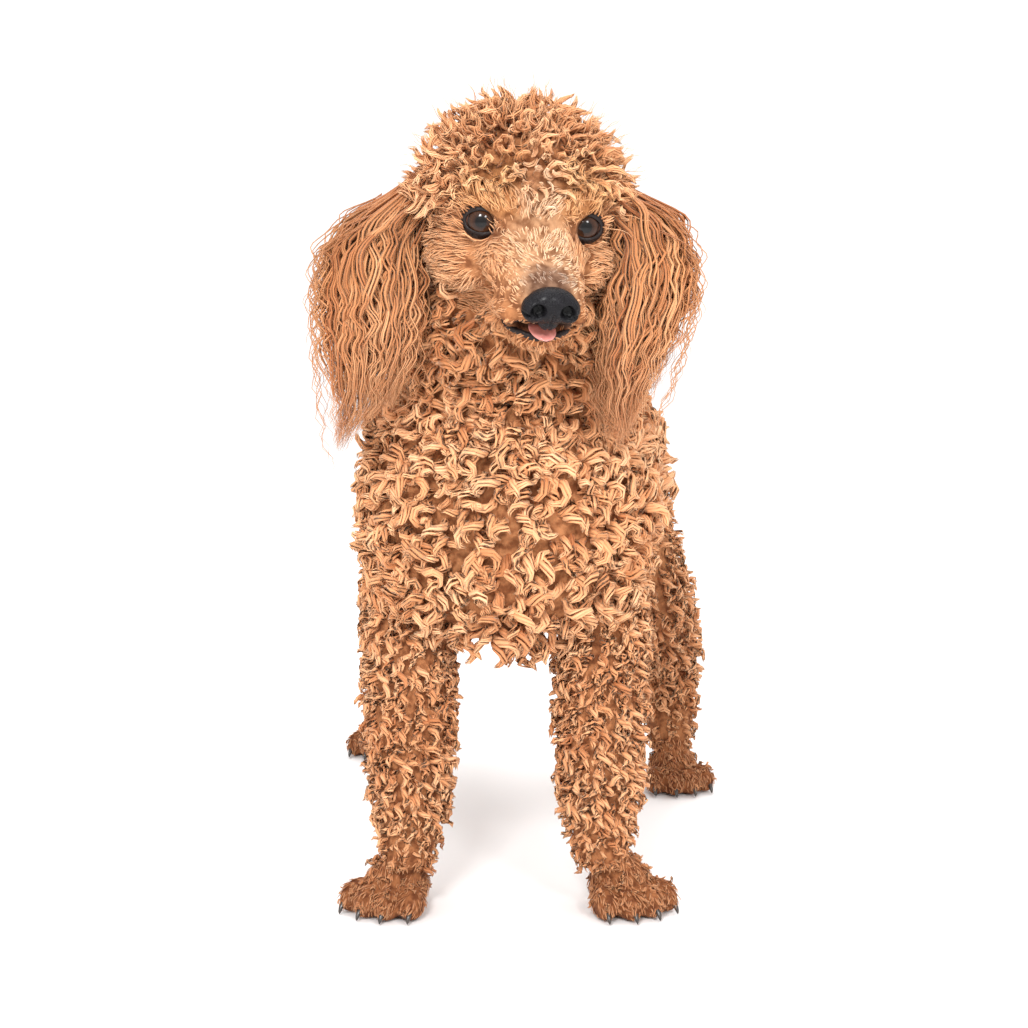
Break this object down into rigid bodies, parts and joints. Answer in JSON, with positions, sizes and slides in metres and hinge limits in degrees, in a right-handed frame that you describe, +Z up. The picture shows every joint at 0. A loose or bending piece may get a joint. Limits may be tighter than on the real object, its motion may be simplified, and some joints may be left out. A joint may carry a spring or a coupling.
{
  "type": "standard poodle",
  "caption": "Life-size still model of an apricot poodle in a curly pet clip, standing on all fours with its head turned a little to its left.",
  "frame": {"origin": "on the floor, under the middle of the whole dog's box", "axes": "+Z up, the dog faces -Y, its left side at +X"},
  "size_m": [0.3386, 0.7124, 0.6027],
  "materials": {
    "coat": "curly, matt",
    "coat_pale": "short and fluffy, matt",
    "coat_deep": "long and wavy, soft sheen",
    "eye": "wet and glossy",
    "nose": "damp, pebbled",
    "tongue": "moist, soft",
    "claw": "smooth horn",
    "skin": "matt skin"
  },
  "bodies": {
    "root": {"head": "coat_pale", "neck": "coat", "tail": "coat", "forepaw_left": "coat_deep", "foreleg_left": "coat", "hind_paw_left": "coat_deep", "hind_leg_left": "coat", "forepaw_right": "coat_deep", "foreleg_right": "coat", "hind_paw_right": "coat_deep", "hind_leg_right": "coat", "torso": "coat", "ear_left": "coat_deep", "ear_right": "coat_deep", "lower_jaw": "coat_pale", "tongue": "tongue", "nose": "nose", "eye_left": "eye", "eye_right": "eye"}
  },
  "joints": []
}
